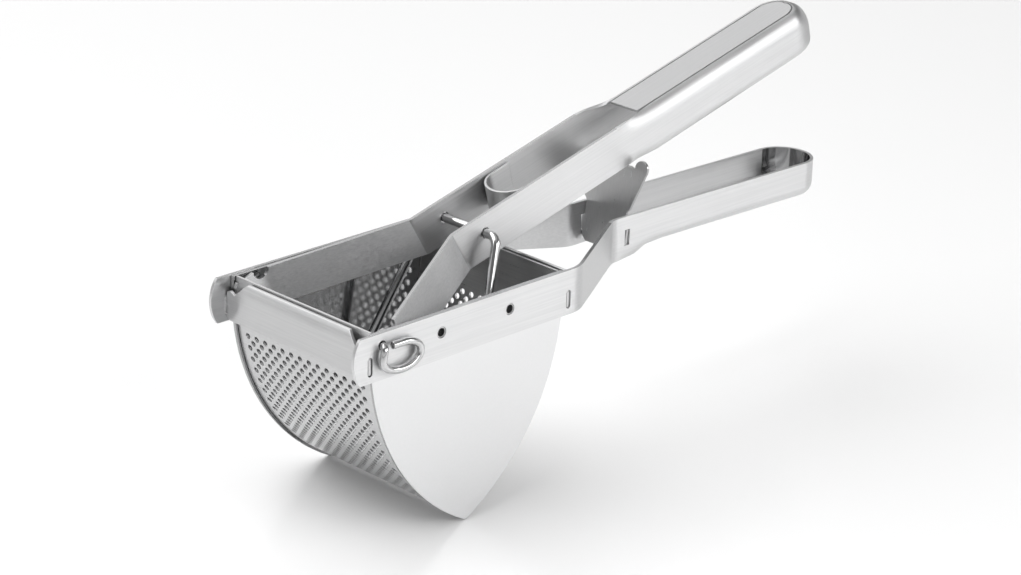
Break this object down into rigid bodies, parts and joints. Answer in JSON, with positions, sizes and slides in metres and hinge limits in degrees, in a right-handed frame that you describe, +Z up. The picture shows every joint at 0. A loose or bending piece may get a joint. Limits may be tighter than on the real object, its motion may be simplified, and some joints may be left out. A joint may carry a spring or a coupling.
{
  "type": "potato ricer",
  "caption": "Hand press with a V-shaped perforated hopper, a strap frame that forms the lower handle, and a hinged upper handle that drives a wire-hung pusher.",
  "frame": {"origin": "under the middle of the frame's length, on the symmetry plane, level with the hopper's lowest edge", "axes": "+X from the front of the hopper to the ends of the handles, +Z up, +Y to the right-hand side seen from the front"},
  "size_m": [0.324, 0.0955, 0.1704],
  "materials": {
    "satin_steel": "satin brushed stainless steel",
    "polished_steel": "polished stainless steel"
  },
  "bodies": {
    "frame": {"frame_band": "satin_steel", "side_plate_left": "satin_steel", "side_plate_right": "satin_steel", "perforated_basket": "satin_steel", "front_rail": "satin_steel", "rear_rail": "satin_steel", "stop_plate": "satin_steel", "plug_rivet_right_front": "polished_steel", "plug_rivet_left_front": "polished_steel", "plug_rivet_right_rear": "polished_steel", "plug_rivet_left_rear": "polished_steel"},
    "upper_handle": {"upper_handle_band": "satin_steel", "handle_cover_plate": "satin_steel", "bridge_strap": "satin_steel"},
    "bail": {"bail_wire": "polished_steel"},
    "pusher": {"pusher_plate": "satin_steel", "pusher_cheek_left": "satin_steel", "pusher_cheek_right": "satin_steel", "pusher_cross_bar": "satin_steel"},
    "hinge_pin": {"hinge_pin": "polished_steel"}
  },
  "joints": [
    {"name": "upper_handle_hinge", "type": "hinge", "parent": "frame", "child": "upper_handle", "pos_m": [-0.147, 0, 0.0928], "axis": [0, -1, 0], "range_deg": [0, 100]},
    {"name": "bail_swing", "type": "hinge", "parent": "upper_handle", "child": "bail", "pos_m": [-0.0601, 0, 0.11027], "axis": [0, -1, 0], "range_deg": [-19, 0]},
    {"name": "pusher_swing", "type": "hinge", "parent": "bail", "child": "pusher", "pos_m": [-0.09194, 0, 0.03146], "axis": [0, -1, 0], "range_deg": [-81, 0]},
    {"name": "hinge_pin_slide", "type": "slide", "parent": "frame", "child": "hinge_pin", "axis": [0, -1, 0], "range_m": [0, 0.1]}
  ],
  "couplings": [
    {"joint": "bail_swing", "follows": "upper_handle_hinge", "ratio": -0.19},
    {"joint": "pusher_swing", "follows": "upper_handle_hinge", "ratio": -0.81}
  ]
}
